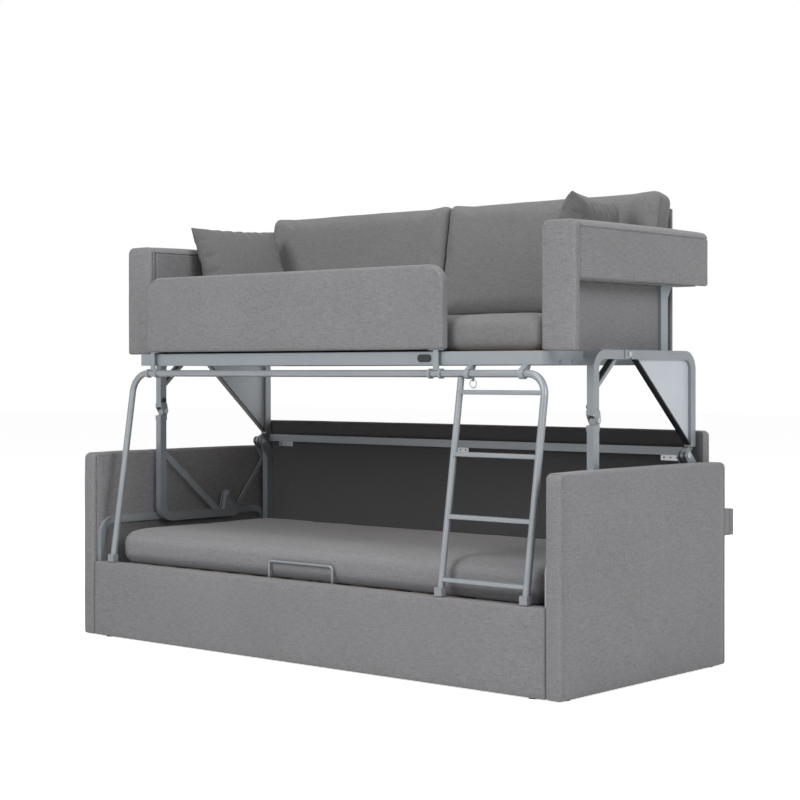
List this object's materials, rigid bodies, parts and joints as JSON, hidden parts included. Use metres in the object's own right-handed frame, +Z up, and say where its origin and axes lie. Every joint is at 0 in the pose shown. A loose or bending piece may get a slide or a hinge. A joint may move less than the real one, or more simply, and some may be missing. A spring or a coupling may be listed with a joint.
{
  "type": "sofa to bunk bed",
  "caption": "Fabric sofa whose seat lifts on folding steel arms into an upper bunk, with a ladder and guard, over a lower bed with storage.",
  "frame": {"origin": "middle of the whole part's box, on the floor", "axes": "+X to the right as seen from the front, along the bed's length; -Y is the front, where the ladder is; +Z is up. Stored in the open, bunk position."},
  "size_m": [2.1, 0.955, 1.5253],
  "materials": {
    "base_fabric": "coarse plain weave",
    "seat_fabric": "fine plain weave",
    "mattress_fabric": "coarse plain weave",
    "pillow_fabric": "fine plain weave",
    "tube_paint": "satin powder coat",
    "frame_paint": "satin powder coat",
    "black_paint": "satin",
    "zinc": "zinc plated",
    "plywood": "unfinished plywood",
    "slat_wood": "varnished",
    "black_plastic": "moulded",
    "shoe_plastic": "moulded"
  },
  "bodies": {
    "base": {"left_side_arm": "base_fabric", "right_side_arm": "base_fabric", "front_panel": "base_fabric", "back_panel": "base_fabric", "storage_box": "plywood", "floor_glides": "black_plastic", "left_end_tube": "frame_paint", "right_end_tube": "frame_paint", "left_rear_support": "frame_paint", "right_rear_support": "frame_paint", "back_rail": "tube_paint", "rail_brackets": "zinc", "wall_spacers": "base_fabric", "rear_pivot_pins": "zinc", "leg_pivot_pins": "zinc"},
    "platform": {"platform_frame": "frame_paint", "platform_slats": "slat_wood", "lower_mattress": "mattress_fabric", "mattress_handle": "tube_paint"},
    "rear_arms": {"left_rear_arm": "tube_paint", "right_rear_arm": "tube_paint", "left_gusset": "frame_paint", "right_gusset": "frame_paint", "gusset_edges": "black_paint", "knuckle_pins": "zinc"},
    "lower_legs": {"left_lower_leg": "tube_paint", "right_lower_leg": "tube_paint", "leg_braces": "frame_paint", "knee_pins": "zinc"},
    "deck": {"deck_frame": "frame_paint", "deck_board": "plywood", "seat_cushion": "seat_fabric", "left_back_cushion": "seat_fabric", "right_back_cushion": "seat_fabric", "backrest_board": "base_fabric", "left_arm_front": "base_fabric", "right_arm_front": "base_fabric", "left_arm_inner": "base_fabric", "right_arm_inner": "base_fabric", "left_armrest": "base_fabric", "right_armrest": "base_fabric", "armrest_posts": "frame_paint", "rail_plug": "black_plastic", "ladder_clips": "frame_paint", "left_upper_frame": "tube_paint", "right_upper_frame": "tube_paint", "frame_braces": "black_paint", "deck_bolts": "zinc", "left_pillow": "pillow_fabric", "right_pillow": "pillow_fabric"},
    "ladder": {"ladder_frame": "tube_paint", "ladder_stile": "tube_paint", "ladder_rungs": "tube_paint", "ladder_shoes": "shoe_plastic"},
    "pull_ring": {"pull_ring": "zinc"},
    "guard": {"guard_panel": "base_fabric", "guard_posts": "frame_paint", "guard_clamps": "frame_paint"},
    "right_knee_latch": {"right_knee_latch": "black_plastic"},
    "left_knee_latch": {"left_knee_latch": "black_plastic"}
  },
  "joints": [
    {"name": "bunk_fold", "type": "hinge", "parent": "base", "child": "rear_arms", "pos_m": [0, 0.3155, 0.673], "axis": [-1, 0, 0], "range_deg": [-70, 0]},
    {"name": "deck_level", "type": "hinge", "parent": "rear_arms", "child": "deck", "pos_m": [0, -0.0155, 0.994], "axis": [-1, 0, 0], "range_deg": [0, 70]},
    {"name": "leg_fold", "type": "hinge", "parent": "base", "child": "lower_legs", "pos_m": [0, 0.1495, 0.474], "axis": [-1, 0, 0], "range_deg": [-70, 0]},
    {"name": "ladder_swing", "type": "hinge", "parent": "deck", "child": "ladder", "pos_m": [0, -0.3575, 0.934], "axis": [-1, 0, 0], "range_deg": [0, 93]},
    {"name": "guard_fold", "type": "hinge", "parent": "deck", "child": "guard", "pos_m": [0, -0.3575, 0.934], "axis": [1, 0, 0], "range_deg": [0, 90]},
    {"name": "platform_lift", "type": "hinge", "parent": "base", "child": "platform", "pos_m": [0, 0.3465, 0.262], "axis": [-1, 0, 0], "range_deg": [0, 18]},
    {"name": "ring_swing", "type": "hinge", "parent": "ladder", "child": "pull_ring", "pos_m": [0.638, -0.3575, 0.916], "axis": [1, 0, 0], "range_deg": [-60, 60]},
    {"name": "right_latch", "type": "slide", "parent": "deck", "child": "right_knee_latch", "axis": [-1, 0, 0], "range_m": [0, 0.004], "stiffness_N_per_m": 300, "springref_m": -0.005},
    {"name": "left_latch", "type": "slide", "parent": "deck", "child": "left_knee_latch", "axis": [1, 0, 0], "range_m": [0, 0.004], "stiffness_N_per_m": 300, "springref_m": -0.005}
  ],
  "couplings": [
    {"joint": "deck_level", "follows": "bunk_fold", "ratio": -1},
    {"joint": "leg_fold", "follows": "bunk_fold", "ratio": 1},
    {"joint": "ladder_swing", "follows": "bunk_fold", "ratio": -1.32}
  ]
}
